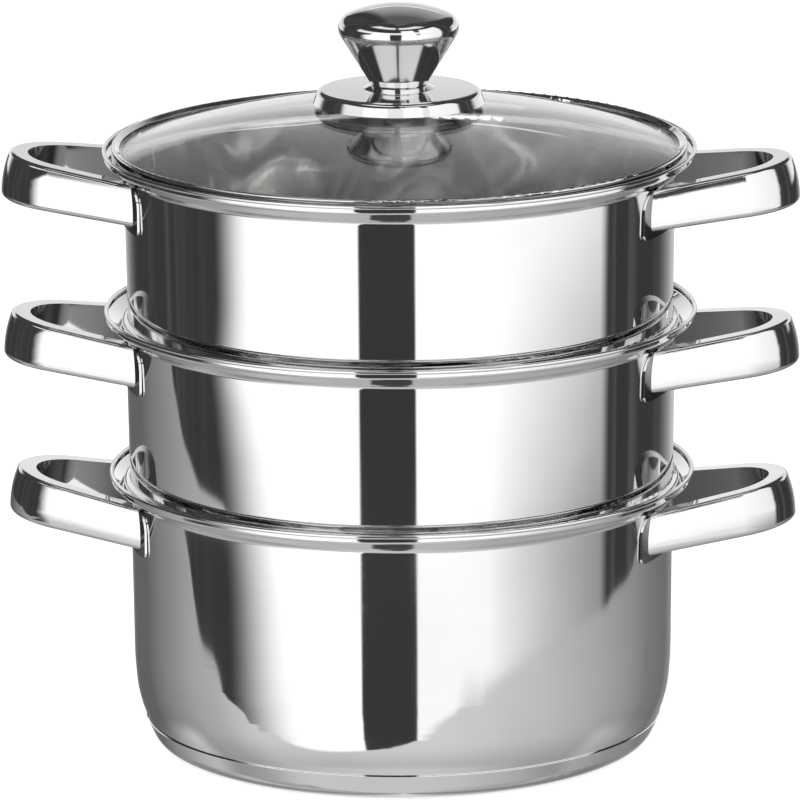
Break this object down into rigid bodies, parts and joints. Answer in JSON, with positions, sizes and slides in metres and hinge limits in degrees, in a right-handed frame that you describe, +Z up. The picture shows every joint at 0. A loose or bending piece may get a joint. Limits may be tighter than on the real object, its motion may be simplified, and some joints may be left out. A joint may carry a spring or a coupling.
{
  "type": "steamer pot",
  "caption": "Stacked steel steamer pot: stockpot with sandwich base, perforated steamers that nest in its flared lip, hollow loop handles and a domed glass lid with a steel knob.",
  "frame": {"origin": "centre of the base's flat underside", "axes": "+Z up along the vessels' axis, the handles lie along X, -Y is the front"},
  "size_m": [0.3508, 0.2606, 0.3298],
  "materials": {
    "polished_steel": "mirror polished stainless steel",
    "base_steel": "polished stainless steel",
    "handle_steel": "mirror polished stainless steel",
    "bracket_steel": "mirror polished stainless steel",
    "core_aluminium": "plain rolled",
    "lid_glass": "clear toughened glass",
    "silicone": "translucent silicone",
    "fastener_steel": "satin"
  },
  "bodies": {
    "pot": {"pot_body": "polished_steel", "base_core": "core_aluminium", "base_cap": "base_steel", "pot_handle_left": "handle_steel", "pot_handle_right": "handle_steel", "pot_bracket_left": "bracket_steel", "pot_bracket_right": "bracket_steel"},
    "lower_steamer": {"lower_steamer_body": "polished_steel", "lower_steamer_handle_left": "handle_steel", "lower_steamer_handle_right": "handle_steel", "lower_steamer_bracket_left": "bracket_steel", "lower_steamer_bracket_right": "bracket_steel"},
    "upper_steamer": {"upper_steamer_body": "polished_steel", "upper_steamer_handle_left": "handle_steel", "upper_steamer_handle_right": "handle_steel", "upper_steamer_bracket_left": "bracket_steel", "upper_steamer_bracket_right": "bracket_steel"},
    "lid": {"lid_glass": "lid_glass", "lid_rim": "polished_steel", "vent_grommet": "polished_steel", "knob_disc": "polished_steel", "knob_shell": "polished_steel", "knob_insert": "fastener_steel", "knob_gasket_top": "silicone", "knob_gasket_bottom": "silicone", "knob_washer": "fastener_steel", "knob_screw": "fastener_steel"}
  },
  "joints": [
    {"name": "lower_steamer_lift", "type": "slide", "parent": "pot", "child": "lower_steamer", "axis": [0, 0, 1], "range_m": [0, 0.08]},
    {"name": "upper_steamer_lift", "type": "slide", "parent": "lower_steamer", "child": "upper_steamer", "axis": [0, 0, 1], "range_m": [0, 0.08]},
    {"name": "lid_lift", "type": "slide", "parent": "upper_steamer", "child": "lid", "axis": [0, 0, 1], "range_m": [0, 0.1]}
  ]
}
